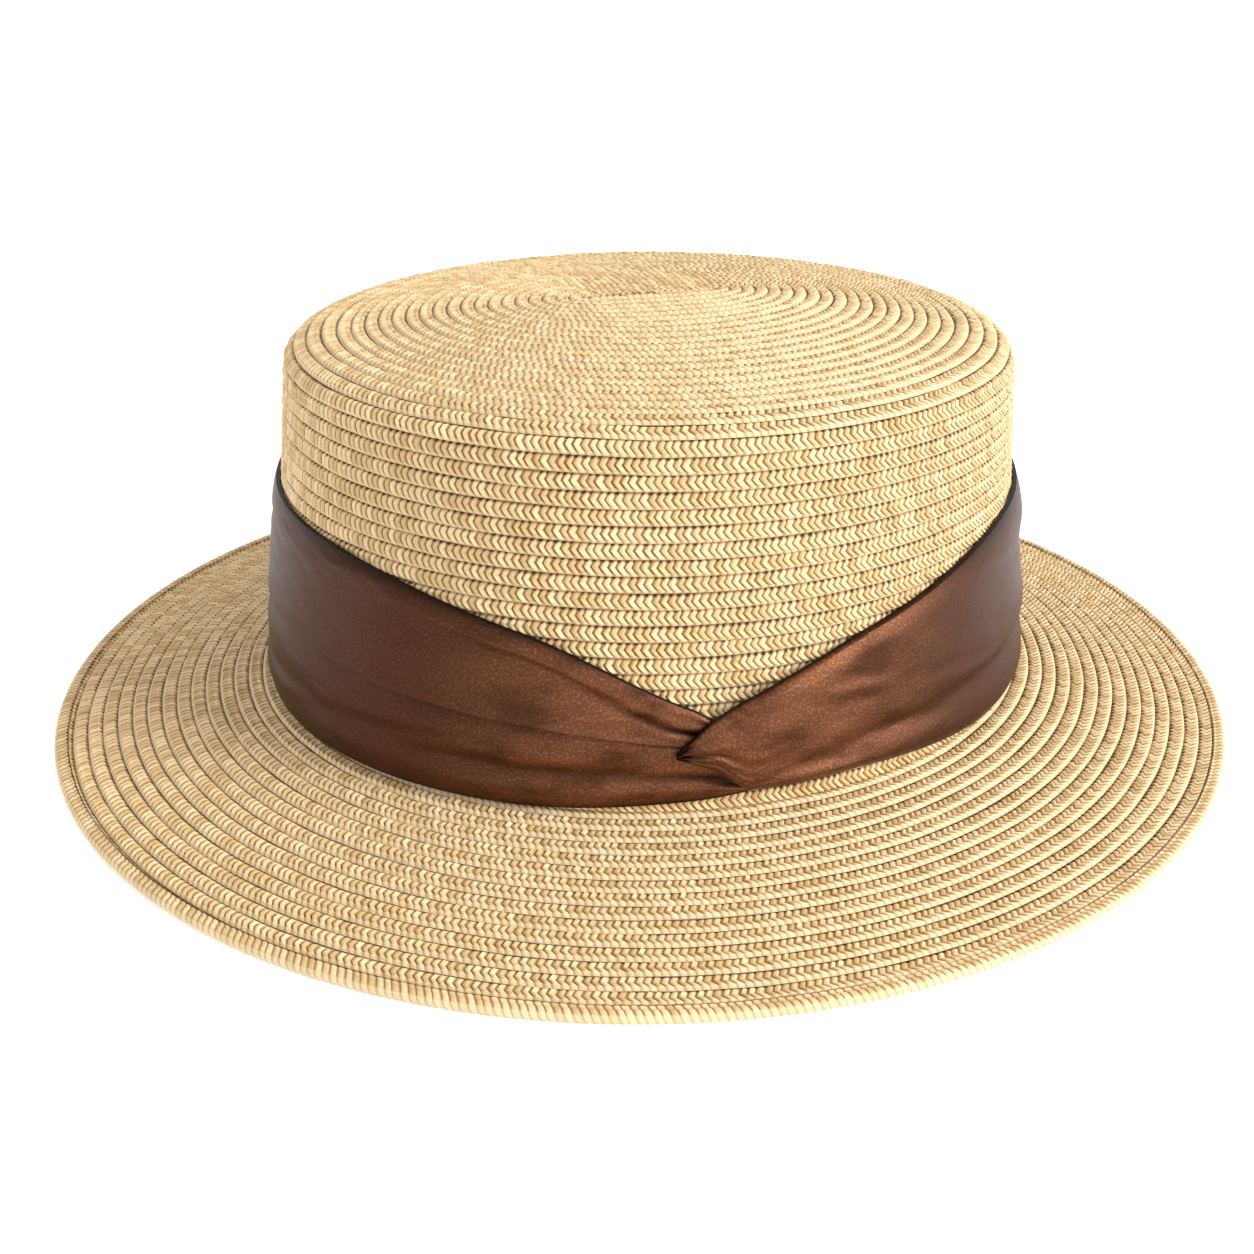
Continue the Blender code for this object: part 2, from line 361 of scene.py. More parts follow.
@dataclass
class SewnBraid:
    """A spiral of plaited straw, each round lying over the inner edge of the next."""

    form: HatForm
    meridian: Meridian
    section: Sequence[Strand]
    runs: Sequence[Run]
    stands_for: str
    seed: int
    band: "RibbonBand | None" = None
    spiral: bool = True  # a rim is one level round instead
    round_width: float = 3.5 * MM
    stitch: float = 1.63 * MM
    columns: tuple[float, ...] = (0.0, 1.0, 0.8)  # how full a stroke is, from one column to the next
    hidden_columns: int = 12  # columns that one column stands for where the band hides the braid
    steps_per_turn: int = 360
    spare: float = 0.1  # turns that the measured line runs on past its ends
    wander: float = 0.12 * MM
    unevenness: float = 0.30
    jitter: float = 0.09  # stitches that a stroke may stand before or behind its place
    wander_length: float = 14 * MM
    lip_wave: float = 0.07 * MM
    lip_wave_length: float = 4 * MM

    def __post_init__(self) -> None:
        """Measures the middle of the braid along the whole spiral, in short steps.

        The first round fills the wedge inside the spiral's start, and the last one
        the wedge outside its end.
        """
        rounds = max(1, round(self.meridian.length / self.round_width)) if self.spiral else 1
        self.pitch = self.meridian.length / rounds if self.spiral else 0.0
        first, last = (-1.0, float(rounds)) if self.spiral else (0.0, 1.0)
        count = int((last - first + 2 * self.spare) * self.steps_per_turn)
        self.turns = np.linspace(first - self.spare, last + self.spare, count + 1)
        middle = self.pitch * self.turns + self.round_width / 2
        half_width, self.levels = self.meridian.at(middle, 0.0)
        points = self.form.oval(half_width, self.turns, self.levels)
        steps = np.linalg.norm(np.diff(points, axis=0), axis=1)
        lengths = np.concatenate([[0.0], np.cumsum(steps)])
        self.lengths = lengths - np.interp(first, self.turns, lengths)
        whole = np.interp(last, self.turns, self.lengths)
        self.stitches = round(whole / self.stitch)
        self.stitch = whole / self.stitches

    def columns_of(self, start: int, end: int) -> Array:
        """The numbers of the columns from one stitch to another.

        Where the band hides the braid, most of them are left out.
        """
        count = len(self.columns)
        numbers = np.arange(start * count, end * count + 1)
        if self.band is None:
            return numbers
        along = numbers * self.stitch / count
        hidden = self.band.hides(
            np.interp(along, self.lengths, self.turns), np.interp(along, self.lengths, self.levels)
        )
        seen = ~hidden | (numbers % self.hidden_columns == 0)
        seen[[0, -1]] = True
        return numbers[seen]

    def build(self, name: str, start: int, end: int) -> bpy.types.Object:
        """Builds one run as a closed mesh.

        A point of the section stands at its own distance across the round and off the
        meridian. The strokes rise and fall from column to column, and their columns
        lean along the braid, one way above the turn of the strokes and back below it.

        Args:
            name: Name of the piece.
            start: The run's first stitch.
            end: The stitch that it ends at.

        Returns:
            The object.
        """
        count = len(self.columns)
        numbers = self.columns_of(start, end)
        across, height, stroke, lean = (np.array(column) for column in zip(*self.section))
        random = np.random.default_rng(self.seed)
        fullness = 1 + self.unevenness * random.uniform(-1, 1, self.stitches + 1)
        rise = np.array(self.columns)[numbers % count] * fullness[numbers // count]
        shift = self.jitter * random.uniform(-1, 1, self.stitches + 1)
        shift[[0, -1]] = 0.0
        along = (numbers / count + shift[numbers // count])[:, None] * self.stitch
        turn = np.interp(along + lean * self.stitch, self.lengths, self.turns)
        drift = self.wander * value_noise(along / self.wander_length, turn, self.seed + 1)
        wave = self.lip_wave * value_noise(along / self.lip_wave_length, turn, self.seed + 2)
        if not self.spiral:
            drift, wave = 0.0, 0.0
        place = self.pitch * turn + across * MM + drift
        off = (height + stroke * rise[:, None]) * MM + wave
        half_width, level = self.meridian.at(place, off)
        sections = self.form.oval(half_width, turn, level)
        flat = np.stack(
            [
                np.broadcast_to(numbers[:, None] / count, turn.shape),
                np.broadcast_to(across * MM / self.round_width, turn.shape),
            ],
            axis=-1,
        )
        return closed_mesh(name, sections, flat, BRAID_MAP)

    def make(self, finish: "StrawFinish") -> list[bpy.types.Object]:
        """Builds and dresses every run, and returns the pieces."""
        material = finish.material()
        pieces = []
        start = 0
        for run in self.runs:
            end = round(self.stitches * run.until)
            piece = self.build(run.name, start, end)
            piece.data.materials.append(material)
            attach(piece, self.stands_for)
            pieces.append(piece)
            start = end
        return pieces


class Along(NamedTuple):
    """A value at each of the six stations of an arm, from its free end to the back."""

    end: float
    over: float
    cross: float
    front: float
    flank: float
    back: float


class Fold(NamedTuple):
    """One line that runs along an arm of the band, such as a hem, crease or crest.

    Heights are shares of the band's height above the crown's foot. Stands are shares
    of the fullest pleat's depth over the ribbon's base.
    """

    name: str
    height: Along
    stand: Along


LEFT_STATIONS = Along(-7.0, -0.8, 3.5, 24.0, 58.0, 105.0)
LEFT_FOLDS = (
    Fold(
        "hem",
        Along(0.083, 0.064, 0.056, 0.026, 0.019, 0.019),
        Along(0.00, 0.02, 0.02, 0.10, 0.25, 0.10),
    ),
    Fold(
        "low crest",
        Along(0.092, 0.110, 0.115, 0.110, 0.120, 0.120),
        Along(0.05, 0.20, 0.25, 0.50, 0.80, 0.35),
    ),
    Fold(
        "low crease",
        Along(0.100, 0.165, 0.178, 0.185, 0.200, 0.205),
        Along(0.05, 0.08, 0.10, 0.20, 0.50, 0.20),
    ),
    Fold(
        "mid crest",
        Along(0.108, 0.225, 0.240, 0.265, 0.300, 0.300),
        Along(0.08, 0.28, 0.32, 0.50, 0.60, 0.35),
    ),
    Fold(
        "under fold",
        Along(0.118, 0.275, 0.296, 0.410, 0.440, 0.440),
        Along(0.05, 0.08, 0.10, 0.05, 0.15, 0.10),
    ),
    Fold(
        "fold lip",
        Along(0.124, 0.285, 0.306, 0.392, 0.428, 0.435),
        Along(0.08, 0.35, 0.42, 0.90, 0.70, 0.40),
    ),
    Fold(
        "high crest",
        Along(0.130, 0.310, 0.335, 0.490, 0.560, 0.570),
        Along(0.08, 0.42, 0.45, 0.80, 0.45, 0.50),
    ),
    Fold(
        "high crease",
        Along(0.136, 0.330, 0.365, 0.635, 0.735, 0.750),
        Along(0.05, 0.12, 0.12, 0.30, 0.30, 0.25),
    ),
    Fold(
        "top crest",
        Along(0.142, 0.368, 0.415, 0.680, 0.830, 0.850),
        Along(0.06, 0.35, 0.38, 0.55, 0.25, 0.30),
    ),
    Fold(
        "top edge",
        Along(0.150, 0.406, 0.472, 0.735, 0.900, 0.935),
        Along(0.00, 0.05, 0.05, 0.10, 0.05, 0.05),
    ),
)

RIGHT_STATIONS = Along(-3.5, 1.0, 6.0, 24.0, 58.0, 105.0)
RIGHT_FOLDS = (
    Fold(
        "hem",
        Along(0.263, 0.220, 0.122, 0.089, 0.019, 0.019),
        Along(0.05, 0.10, 0.15, 0.12, 0.10, 0.05),
    ),
    Fold(
        "low crest",
        Along(0.266, 0.245, 0.150, 0.145, 0.110, 0.110),
        Along(0.15, 0.35, 0.45, 0.60, 0.80, 0.35),
    ),
    Fold(
        "low crease",
        Along(0.268, 0.265, 0.180, 0.235, 0.270, 0.240),
        Along(0.20, 0.45, 0.45, 0.30, 0.25, 0.15),
    ),
    Fold(
        "mid crest",
        Along(0.270, 0.290, 0.240, 0.330, 0.350, 0.350),
        Along(0.25, 0.60, 0.75, 0.75, 0.85, 0.45),
    ),
    Fold(
        "high crease",
        Along(0.273, 0.325, 0.330, 0.480, 0.560, 0.560),
        Along(0.25, 0.65, 0.65, 0.60, 0.40, 0.20),
    ),
    Fold(
        "high crest",
        Along(0.277, 0.365, 0.455, 0.610, 0.740, 0.750),
        Along(0.25, 0.70, 0.70, 0.65, 0.45, 0.40),
    ),
    Fold(
        "top edge",
        Along(0.281, 0.413, 0.498, 0.676, 0.880, 0.935),
        Along(0.05, 0.10, 0.20, 0.25, 0.05, 0.05),
    ),
)


class Waves(NamedTuple):
    """Soft wrinkles of one size: their length, their width, and their rise along the arm."""

    length: float
    width: float
    slant: float


LONG_WAVES = Waves(16 * MM, 2.6 * MM, 0.12)
SHORT_WAVES = Waves(7 * MM, 1.5 * MM, -0.2)


class Way(Enum):
    """Which way an arm of the band runs from the crossing."""

    LEFT = -1
    RIGHT = 1


@dataclass
class RibbonArm:
    """One gathered length of ribbon, from its free end at the crossing to the seam."""

    name: str
    stands_for: str
    form: HatForm
    way: Way
    stations: Along
    folds: Sequence[Fold]
    lift: float
    lift_end: float
    under_reach: float
    seed: int
    crossing: float = -9.5
    seam: float = 179.9
    height: float = 54.0 * MM
    ribbon: float = 0.5 * MM
    depth: float = 3.3 * MM
    clear: float = 1.0 * MM  # from the crown's wall to the ribbon's inner face
    column: float = 0.45  # degrees from one column to the next
    rows_per_fold: int = 8
    thinnest: float = 0.4  # share of the ribbon's thickness that a wrinkle leaves
    wrinkle: float = 0.24 * MM
    short_share: float = 0.4  # how deep the short wrinkles are beside the long ones
    edge_rows: float = 0.8  # folds from the ribbon's edge over which wrinkles fade in
    gather: float = 0.55 * MM  # depth of the fine pleats that fan out from the crossing
    gather_reach: float = 17.0  # degrees over which they fade
    pleat_length: float = 22.0  # degrees
    pleats_per_row: float = 1.7
    crease_sharpness: float = 0.62  # below 1 the creases are narrower than the crests
    turned_edge: float = 2.2  # degrees of the upper arm's end that are turned under
    pleat_shade: float = 0.35  # how much painted shade the fine pleats add to the colour

    def heights(self, travel: Array) -> Array:
        """The height over the crown's foot of each fold's line, at these travels in degrees."""
        table = np.array([fold.height for fold in self.folds])
        return eased(np.array(self.stations), table, travel) * self.height

    def stands(self, travel: Array) -> Array:
        """How far each fold's line stands over the ribbon's inner face."""
        table = np.array([fold.stand for fold in self.folds])
        return self.ribbon + eased(np.array(self.stations), table, travel) * self.depth

    def off(self, travel: Array) -> Array:
        """How far the arm is held off the crown by the arm that runs under it."""
        share = (self.lift_end - travel) / (self.lift_end - self.under_reach)
        return self.lift * np.clip(share, 0.0, 1.0)

    def place(self, travel: Array, height: Array, stand: Array) -> Array:
        """Points over the crown's side, at these heights and stands.

        The half width is that of the leaning side at the height, plus the stand.
        """
        lean = self.form.crown_taper * height / self.form.side_height
        half_width = self.form.crown_half_width - lean + self.clear + stand
        turn = (self.crossing + self.way.value * travel) / 360
        return self.form.oval(half_width, turn, self.form.foot_height + height)

    def waves(self, waves: Waves, travel: Array, height: Array, seed: int) -> Array:
        """Soft wrinkles from -1 to 1 that run slantwise along the arm."""
        arc = np.radians(travel)[:, None] * self.form.crown_half_width
        slanted = (height + waves.slant * arc) / waves.width
        return value_noise(arc / waves.length, slanted, seed)

    def surface(self) -> tuple[Array, Array, Array, Array]:
        """The outer face, as smooth curves across the folds' lines at every column.

        Returns:
            The travel of each column, and the height, stand and tone of each point,
            with the rows in the last axis. The tone sets the colour's painted shade: it
            is 0 in a crease and 1 on a crest.
        """
        first = self.stations.end
        count = int((self.seam - first) / self.column)
        travel = np.linspace(first, self.seam, count + 1)
        knots = np.arange(len(self.folds), dtype=float)
        rows = np.linspace(0, len(self.folds) - 1, (len(self.folds) - 1) * self.rows_per_fold + 1)
        height = eased(knots, self.heights(travel).T, rows)
        stand = eased(knots, self.stands(travel).T, rows)
        fullest = stand.max(axis=1)[:, None]
        share = (stand - self.ribbon) / (fullest - self.ribbon + 0.01 * MM)
        share = np.clip(share, 0.0, 1.0) ** self.crease_sharpness
        stand = self.ribbon + (fullest - self.ribbon) * share
        if self.way is Way.RIGHT:
            turned = np.clip((travel - first) / self.turned_edge, 0.0, 1.0)[:, None] ** 3
            stand = self.ribbon + (stand - self.ribbon) * turned
            share = share * turned
        long_waves = self.waves(LONG_WAVES, travel, height, self.seed)
        short_waves = self.waves(SHORT_WAVES, travel, height, self.seed + 1)
        edge = np.clip(np.minimum(rows, rows[-1] - rows) / self.edge_rows, 0.0, 1.0)
        pleats = value_noise(
            travel[:, None] / self.pleat_length, rows * self.pleats_per_row, self.seed + 2
        )
        fading = self.gather * np.exp(-np.maximum(travel, 0.0) / self.gather_reach)[:, None]
        wrinkles = long_waves + self.short_share * short_waves
        stand = stand + edge * (self.wrinkle * wrinkles + fading * pleats)
        # The tone sets the painted shade of the creases and of the fine pleats.
        tone = share + self.pleat_shade * edge * fading * pleats / self.gather
        return travel, height, np.maximum(stand, self.thinnest * self.ribbon), tone

    def build(self) -> bpy.types.Object:
        """Builds the arm as a closed wall: up the outer face and back down the inner one."""
        travel, height, stand, fold = self.surface()
        off = self.off(travel)[:, None]
        outer = self.place(travel[:, None], height, off + stand)
        bottom, top = height.min(axis=1)[:, None], height.max(axis=1)[:, None]
        down = np.linspace(1.0, 0.0, self.rows_per_fold)
        inner = self.place(travel[:, None], bottom + (top - bottom) * down, off)
        sections = np.concatenate([outer, inner], axis=1)
        run = np.radians(travel)[:, None] * self.form.crown_half_width
        reach = np.linalg.norm(np.diff(outer, axis=1), axis=2)
        reach = np.concatenate([np.zeros((len(travel), 1)), np.cumsum(reach, axis=1)], axis=1)
        across = np.concatenate([reach, reach[:, -1:] * down], axis=1)
        flat = np.stack([np.broadcast_to(run, across.shape), across], axis=-1)
        made = closed_mesh(self.name, sections, flat, RIBBON_MAP)
        # The tone goes to the fold attribute for the painted shade; the inner face gets full painted
        # shade.
        depth = made.data.attributes.new(FOLD, "FLOAT", "POINT")
        inside = np.zeros((len(travel), len(down)))
        depth.data.foreach_set(
            "value", np.concatenate([fold, inside], axis=1).astype(np.float32).ravel()
        )
        self.width, self.length = self.flat_size(outer)
        return made

    def flat_size(self, outer: Array) -> tuple[float, float]:
        """The width and length of the ribbon before it was gathered.

        The length is that of the middle row, and the width is the outer face's area,
        with the half-diagonals' cross product for each patch, over that length.
        """
        first = outer[1:, 1:] - outer[:-1, :-1]
        second = outer[1:, :-1] - outer[:-1, 1:]
        area = np.linalg.norm(np.cross(first, second), axis=-1).sum() / 2
        middle = outer[:, outer.shape[1] // 2]
        length = np.linalg.norm(np.diff(middle, axis=0), axis=1).sum()
        return float(area / length), float(length)

    def make(self, finish: "RibbonFinish") -> bpy.types.Object:
        piece = self.build()
        piece.data.materials.append(finish.material())
        attach(piece, self.stands_for)
        return piece


@dataclass
class RibbonBand:
    """The band's two arms, the right one lying over the left where they cross."""

    form: HatForm
    lift_end: float = 22.0
    under_reach: float = 7.0
    gap: float = 0.3 * MM
    cover: float = 3.0 * MM  # how far inside the band's edges the straw can't be seen
    end_cover: float = 2.0  # the same at an arm's free end, in degrees

    def __post_init__(self) -> None:
        """Sets out both arms."""
        left = RibbonArm(
            "ribbon_left", "band_left", self.form, Way.LEFT, LEFT_STATIONS, LEFT_FOLDS,
            0.0, self.lift_end, self.under_reach, 31,
        )
        fullest = max(max(fold.stand[:3]) for fold in LEFT_FOLDS)
        lift = left.ribbon + fullest * left.depth + self.gap
        right = RibbonArm(
            "ribbon_right", "band_right", self.form, Way.RIGHT, RIGHT_STATIONS, RIGHT_FOLDS,
            lift, self.lift_end, self.under_reach, 47,
        )
        self.arms = (left, right)

    def hides(self, turn: Array, height: Array) -> Array:
        """Whether the band covers the crown at these turns and heights."""
        above = height - self.form.foot_height
        hidden = np.zeros(np.shape(turn), dtype=bool)
        for arm in self.arms:
            travel = (arm.way.value * (turn * 360 - arm.crossing) + 180) % 360 - 180
            heights = arm.heights(travel)
            under = (above > heights[0] + self.cover) & (above < heights[-1] - self.cover)
            hidden |= under & (travel > arm.stations.end + self.end_cover)
        return hidden

    def make(self, finish: "RibbonFinish") -> list[bpy.types.Object]:
        """Builds both arms."""
        return [arm.make(finish) for arm in self.arms]


def attach(piece: bpy.types.Object, node: str) -> None:
    """Has a piece ride on the hat's one body, in place of a node."""
    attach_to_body(piece, BODY)
    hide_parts(node)
    log.info("%s: %d faces", piece.name, len(piece.data.polygons))


class Wire:
    """One output socket of a node, with arithmetic on it."""

    def __init__(self, graph: "Graph", socket: bpy.types.NodeSocket) -> None:
        """Keeps the socket and the graph that it belongs to."""
        self.graph = graph
        self.socket = socket

    def __add__(self, other: "Wire | float") -> "Wire":
        """The sum."""
        return self.graph.math("ADD", self, other)

    def __radd__(self, other: float) -> "Wire":
        """The sum, with a number first."""
        return self.graph.math("ADD", other, self)

    def __sub__(self, other: "Wire | float") -> "Wire":
        """The difference."""
        return self.graph.math("SUBTRACT", self, other)

    def __rsub__(self, other: float) -> "Wire":
        """The difference from a number."""
        return self.graph.math("SUBTRACT", other, self)

    def __mul__(self, other: "Wire | float") -> "Wire":
        """The product."""
        return self.graph.math("MULTIPLY", self, other)

    def __rmul__(self, other: float) -> "Wire":
        """The product, with a number first."""
        return self.graph.math("MULTIPLY", other, self)

    def step(self, low: float, high: float) -> "Wire":
        """0 below low and 1 above high, with a smooth rise between, or a fall if low is higher."""
        return self.graph.node(
            "ShaderNodeMapRange",
            {"interpolation_type": "SMOOTHSTEP"},
            {"Value": self, "From Min": low, "From Max": high},
        )


class Graph:
    """A material's node tree, written as expressions."""

    def __init__(self, name: str) -> None:
        """Starts a material with its one shader."""
        self.material = bpy.data.materials.new(name)
        self.material.use_nodes = True
        self.tree = self.material.node_tree
        self.shader = self.tree.nodes["Principled BSDF"]

    def node(
        self,
        kind: str,
        settings: dict[str, Any],
        sockets: dict[str | int, Any],
        output: str | int = 0,
    ) -> Wire:
        """Adds a node.

        Args:
            kind: The node's type.
            settings: Properties of the node, set first.
            sockets: Values or wires of its inputs.
            output: Which output to return.

        Returns:
            The output, as a wire.
        """
        made = self.tree.nodes.new(kind)
        for name, value in settings.items():
            setattr(made, name, value)
        for name, value in sockets.items():
            self.feed(made.inputs[name], value)
        return Wire(self, made.outputs[output])

    def feed(self, socket: bpy.types.NodeSocket, value: Any) -> None:
        """Links a wire to a socket, or sets the socket's own value."""
        if isinstance(value, Wire):
            self.tree.links.new(value.socket, socket)
        elif isinstance(value, tuple) and len(value) == 3 and socket.type == "RGBA":
            socket.default_value = (*value, 1.0)
        else:
            socket.default_value = value

    def math(self, operation: str, *values: "Wire | float") -> Wire:
        """Adds a Math node."""
        return self.node("ShaderNodeMath", {"operation": operation}, dict(enumerate(values)))

    def mix(self, share: "Wire | float", first: Any, second: Any) -> Wire:
        """Mixes two colours by the share of the second one."""
        return self.node(
            "ShaderNodeMix", {"data_type": "RGBA"}, {0: share, 6: first, 7: second}, 2
        )

    def vector(self, x: "Wire | float", y: "Wire | float", z: "Wire | float" = 0.0) -> Wire:
        """Joins three values into a vector."""
        return self.node("ShaderNodeCombineXYZ", {}, {"X": x, "Y": y, "Z": z})

    def noise(self, vector: Wire, scale: float, detail: float = 2.0) -> Wire:
        """Adds a noise texture and returns its value."""
        return self.node(
            "ShaderNodeTexNoise", {}, {"Vector": vector, "Scale": scale, "Detail": detail}
        )

    def chance(self, value: "Wire") -> Wire:
        """A random number from 0 to 1 for each whole number."""
        return self.node("ShaderNodeTexWhiteNoise", {"noise_dimensions": "1D"}, {"W": value})

    def flat(self, layer: str) -> tuple[Wire, Wire]:
        """Both coordinates of the piece's own map."""
        place = self.node("ShaderNodeUVMap", {"uv_map": layer}, {})
        parts = self.tree.nodes.new("ShaderNodeSeparateXYZ")
        self.feed(parts.inputs[0], place)
        return Wire(self, parts.outputs[0]), Wire(self, parts.outputs[1])

    def finish(self, **sockets: Any) -> bpy.types.Material:
        """Feeds the shader's sockets, named with _ for a space, and returns the material."""
        for name, value in sockets.items():
            self.feed(self.shader.inputs[name.replace("_", " ").title()], value)
        return self.material


@dataclass(frozen=True)
class StrawFinish:
    """Plaited straw: pale plump strokes, with painted shade between them, in the grooves and pinholes.
    """

    pale: Colour = (0.86, 0.64, 0.36)
    golden: Colour = (0.62, 0.41, 0.175)
    lip: Colour = (0.84, 0.66, 0.40)
    # painted shade for the valleys between the strokes and the grooves between rounds
    crease: Colour = (0.27, 0.145, 0.045)
    # painted shadow seen through the sewing pinholes
    painted_hole_shade: Colour = (0.050, 0.022, 0.007)
    roughness: float = 0.44

    def material(self) -> bpy.types.Material:
        """Builds the material.

        Along the map one unit is a stitch, and across it one unit is a round. The
        random tone is one for each stitch, and the streaks run along its strokes.
        The colour paints shade into the valleys between the strokes and the grooves,
        and painted shadow into the pinholes of some stitches.
        """
        graph = Graph("plaited_straw")
        along, across = graph.flat(BRAID_MAP)
        stitch = graph.math("FLOOR", along)
        phase = graph.math("FRACT", along)
        edge = graph.math("ABSOLUTE", phase - 0.5) * 2
        streaks = graph.noise(graph.vector(along * 7.0, across * 2.2), 1.0, 3.0)
        tone = graph.chance(stitch) * 0.7 + streaks * 0.9 - 0.3
        # the groove by the round's inner edge: it gets painted shade and a rougher finish
        groove = across.step(0.19, 0.05)
        lip = across.step(0.76, 0.86)
        # painted shade in the valleys between the strokes, less on the lip
        between = edge.step(0.45, 0.95) * (1 - lip * 0.45)
        # painted shadow in the sewing pinholes of some stitches
        punched = graph.chance(stitch + 0.37).step(0.30, 0.45)
        painted_pinhole_shade = across.step(0.24, 0.12) * punched * edge.step(0.25, 0.65)
        colour = graph.mix(tone.step(0.1, 0.9), self.golden, self.pale)
        colour = graph.mix(lip * 0.6, colour, self.lip)
        colour = graph.mix(between * 0.85, colour, self.crease)
        colour = graph.mix(groove * 0.8, colour, self.crease)
        colour = graph.mix(painted_pinhole_shade, colour, self.painted_hole_shade)
        relief = graph.math("POWER", 1 - edge * edge, 0.5) * (1 - lip) + streaks * 0.35
        bump = graph.node(
            "ShaderNodeBump", {}, {"Strength": 0.7, "Distance": 0.3 * MM, "Height": relief}
        )
        return graph.finish(
            base_color=colour,
            roughness=self.roughness + streaks * 0.15 + groove * 0.2,
            normal=bump,
        )


@dataclass(frozen=True)
class RibbonFinish:
    """Brushed satin ribbon that reflects in its own brown, with painted shade, sheen and glints."""

    # deep: painted shade in the creases of the folds and on the inner face
    deep: Colour = (0.010, 0.0024, 0.0005)
    brown: Colour = (0.058, 0.0155, 0.0032)
    # painted coppery sheen of the light on the crests near the crossing
    painted_copper_sheen: Colour = (0.165, 0.057, 0.022)
    # painted glints of the fibres catching the light
    painted_glint_colour: Colour = (0.34, 0.150, 0.075)
    satin: float = 0.75
    roughness: float = 0.50
    sheen_reach: float = 62 * MM  # how far from the crossing the painted sheen reaches

    def material(self) -> bpy.types.Material:
        """Builds the material.

        The map is in metres. The grain is two fine noises drawn out along the ribbon
        and across it. Near the crossing the crests get a painted coppery sheen in
        patches and painted glints, and the creases get painted shade.
        """
        graph = Graph("brushed_satin")
        along, across = graph.flat(RIBBON_MAP)
        fold = graph.node("ShaderNodeAttribute", {"attribute_name": FOLD}, {}, "Fac")
        grain = graph.noise(graph.vector(along * 2300, across * 1500), 1.0, 3.0)
        nap = graph.noise(graph.vector(along * 1300, across * 2300, 7.0), 1.0, 2.0)
        patches = graph.noise(graph.vector(along * 70, across * 130), 1.0, 3.0)
        # crest share: the creases get painted shade, the crests painted sheen and glints
        crest_share = fold.step(0.12, 0.62)
        # painted sheen in patches on the crests near the crossing
        painted_sheen_zone = along.step(self.sheen_reach, 8 * MM) * patches.step(0.25, 0.62)
        # painted glints, weak on all crests and strong in the painted sheen
        painted_glint_mask = (grain * 0.55 + nap * 0.45).step(0.46, 0.66)
        # painted shade in the creases, then painted coppery sheen and painted glints on the crests
        colour = graph.mix(crest_share, self.deep, self.brown)
        colour = graph.mix(crest_share * painted_sheen_zone, colour, self.painted_copper_sheen)
        colour = graph.mix(crest_share * painted_glint_mask * (0.12 + painted_sheen_zone * 0.6), colour, self.painted_glint_colour)
        bump = graph.node(
            "ShaderNodeBump",
            {},
            {"Strength": 0.5, "Distance": 0.12 * MM, "Height": grain + nap * 0.7},
        )
        return graph.finish(
            base_color=colour,
            roughness=self.roughness - grain * 0.1,
            normal=bump,
            metallic=self.satin,
        )


class Sun(NamedTuple):
    """One soft light: where it comes from, its strength, and its spread in degrees."""

    name: str
    comes_from: tuple[float, float, float]
    strength: float
    spread: float


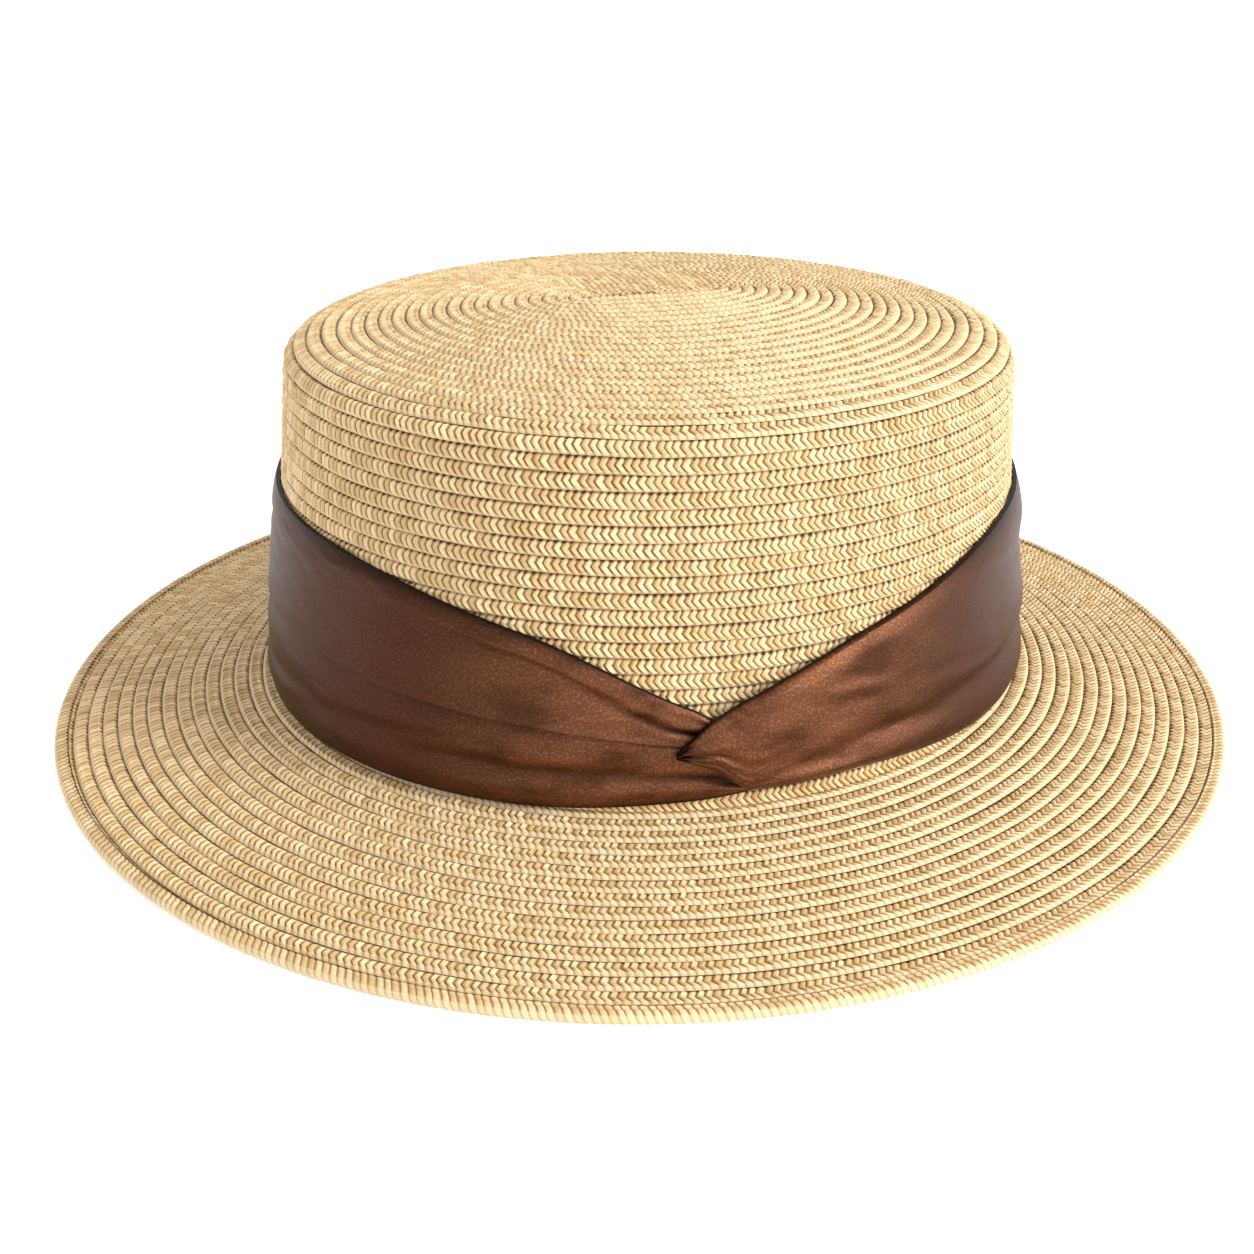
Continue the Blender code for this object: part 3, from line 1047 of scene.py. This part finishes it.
@dataclass(frozen=True)
class Studio:
    """White floor, soft light from the upper right, and the camera at the photograph's angle."""

    eye: tuple[float, float, float] = (-0.1135, -0.3357, 0.1883)
    look: tuple[float, float, float] = (0.2725, 0.8524, -0.4463)
    roll: float = 0.0135
    lens: float = 43.19
    sensor: float = 36.0
    shift: float = 0.0023
    floor_size: float = 8.0
    floor_colour: Colour = (0.93, 0.93, 0.93)
    floor_glow: float = 0.30  # keeps the floor white where the hat shades it
    world_strength: float = 0.90
    lights: tuple[Sun, ...] = (
        Sun("key", (0.76, -0.55, 0.60), 2.6, 26.0),
        Sun("side", (0.80, -0.62, 0.12), 1.0, 20.0),
    )

    def make_floor(self) -> None:
        """Lays the floor under the hat."""
        half = self.floor_size / 2
        mesh = bpy.data.meshes.new("floor")
        corners = [(-half, -half, 0.0), (half, -half, 0.0), (half, half, 0.0), (-half, half, 0.0)]
        mesh.from_pydata(corners, [], [(0, 1, 2, 3)])
        graph = Graph("floor")
        finish = graph.finish(
            base_color=self.floor_colour,
            roughness=0.9,
            emission_color=(1.0, 1.0, 1.0),
            emission_strength=self.floor_glow,
        )
        mesh.materials.append(finish)
        floor = bpy.data.objects.new("floor", mesh)
        bpy.context.scene.collection.objects.link(floor)

    def make_light(self) -> None:
        """Lights the scene from all round, with broad lights from the upper right and the side."""
        world = bpy.data.worlds.new("studio")
        world.use_nodes = True
        sky = world.node_tree.nodes["Background"]
        sky.inputs["Color"].default_value = (1.0, 1.0, 1.0, 1.0)
        sky.inputs["Strength"].default_value = self.world_strength
        scene = bpy.context.scene
        scene.world = world
        scene.view_settings.view_transform = "Standard"
        for light in self.lights:
            data = bpy.data.lights.new(light.name, "SUN")
            data.energy = light.strength
            data.angle = np.radians(light.spread)
            sun = bpy.data.objects.new(light.name, data)
            sun.rotation_euler = Vector(light.comes_from).to_track_quat("Z", "Y").to_euler()
            scene.collection.objects.link(sun)

    def make_camera(self) -> None:
        """Sets the camera at the photograph's place, turned a little about its own line of sight."""
        data = bpy.data.cameras.new("camera")
        data.sensor_width = self.sensor
        data.lens = self.lens
        data.shift_x = self.shift
        camera = bpy.data.objects.new("camera", data)
        camera.location = self.eye
        aim = Vector(self.look).to_track_quat("-Z", "Y")
        camera.rotation_euler = (aim @ Quaternion((0.0, 0.0, 1.0), self.roll)).to_euler()
        bpy.context.scene.collection.objects.link(camera)
        bpy.context.scene.camera = camera


def main() -> None:
    """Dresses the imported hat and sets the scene."""
    logging.basicConfig(level=logging.INFO, format="%(message)s")
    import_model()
    form = HatForm()
    band = RibbonBand(form)
    straw = StrawFinish()
    crown = SewnBraid(
        form,
        crown_meridian(form),
        BRAID_SECTION,
        (
            Run("crown_braid_top", 0.22),
            Run("crown_braid_shoulder", 0.42),
            Run("crown_braid_side_high", 0.66),
            Run("crown_braid_side_low", 1.0),
        ),
        "crown",
        seed=11,
        band=band,
    )
    crown.make(straw)
    brim = SewnBraid(
        form,
        brim_meridian(form),
        BRAID_SECTION,
        (
            Run("brim_braid_inner", 0.34),
            Run("brim_braid_middle", 0.67),
            Run("brim_braid_outer", 1.0),
        ),
        "brim",
        seed=23,
    )
    brim.make(straw)
    rim = SewnBraid(
        form,
        rim_meridian(form),
        RIM_SECTION,
        (Run("brim_rim", 1.0),),
        "brim",
        seed=29,
        spiral=False,
    )
    rim.make(straw)
    band.make(RibbonFinish())
    studio = Studio()
    studio.make_floor()
    studio.make_light()
    studio.make_camera()


if __name__ == "__main__":
    main()
